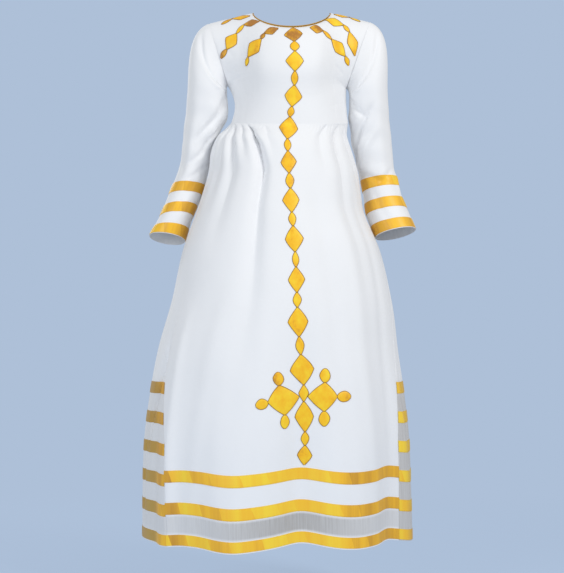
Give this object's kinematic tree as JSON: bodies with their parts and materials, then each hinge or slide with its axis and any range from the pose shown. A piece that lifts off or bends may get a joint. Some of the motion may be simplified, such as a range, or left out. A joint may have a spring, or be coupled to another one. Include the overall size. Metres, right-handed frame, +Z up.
{
  "type": "habesha kemis dress",
  "caption": "Long white cotton dress with round neck, long sleeves, gathered flared skirt, gold ribbon bands at cuffs and hem and a gold lozenge chain ending in a cross down the front.",
  "frame": {"origin": "midway between the shoulders, level with the points where the shoulder seams meet the neckline, where the wearer holds the dress", "axes": "+Z up along the body, the front faces -Y, +X to the right of someone who looks at the front"},
  "size_m": [0.6866, 0.5092, 1.3141],
  "materials": {
    "white_cotton": "soft white cotton, fine plain weave with a faint satin sheen",
    "gold_ribbon": "yellow-gold satin ribbon",
    "gold_applique": "gold satin applique with corded stitched outlines",
    "gold_piping": "thin gold piping"
  },
  "bodies": {
    "root": {"bodice_front": "white_cotton", "bodice_back": "white_cotton", "sleeve_left": "white_cotton", "sleeve_right": "white_cotton", "skirt_front": "white_cotton", "skirt_back": "white_cotton", "skirt_side_left": "white_cotton", "skirt_side_right": "white_cotton", "neck_binding": "gold_piping", "cuff_band_left_1": "gold_ribbon", "cuff_band_left_2": "gold_ribbon", "cuff_band_left_3": "gold_ribbon", "cuff_band_right_1": "gold_ribbon", "cuff_band_right_2": "gold_ribbon", "cuff_band_right_3": "gold_ribbon", "hem_band_front_1": "gold_ribbon", "hem_band_front_2": "gold_ribbon", "hem_band_front_3": "gold_ribbon", "hem_band_back_1": "gold_ribbon", "hem_band_back_2": "gold_ribbon", "hem_band_back_3": "gold_ribbon", "side_band_left_1": "gold_ribbon", "side_band_left_2": "gold_ribbon", "side_band_left_3": "gold_ribbon", "side_band_left_4": "gold_ribbon", "side_band_left_5": "gold_ribbon", "side_band_left_6": "gold_ribbon", "side_band_right_1": "gold_ribbon", "side_band_right_2": "gold_ribbon", "side_band_right_3": "gold_ribbon", "side_band_right_4": "gold_ribbon", "side_band_right_5": "gold_ribbon", "side_band_right_6": "gold_ribbon", "chain_bodice": "gold_applique", "chain_skirt": "gold_applique", "neck_chain_left_inner": "gold_applique", "neck_chain_left_middle": "gold_applique", "neck_chain_left_shoulder": "gold_applique", "neck_chain_right_inner": "gold_applique", "neck_chain_right_middle": "gold_applique", "neck_chain_right_shoulder": "gold_applique"}
  },
  "joints": []
}
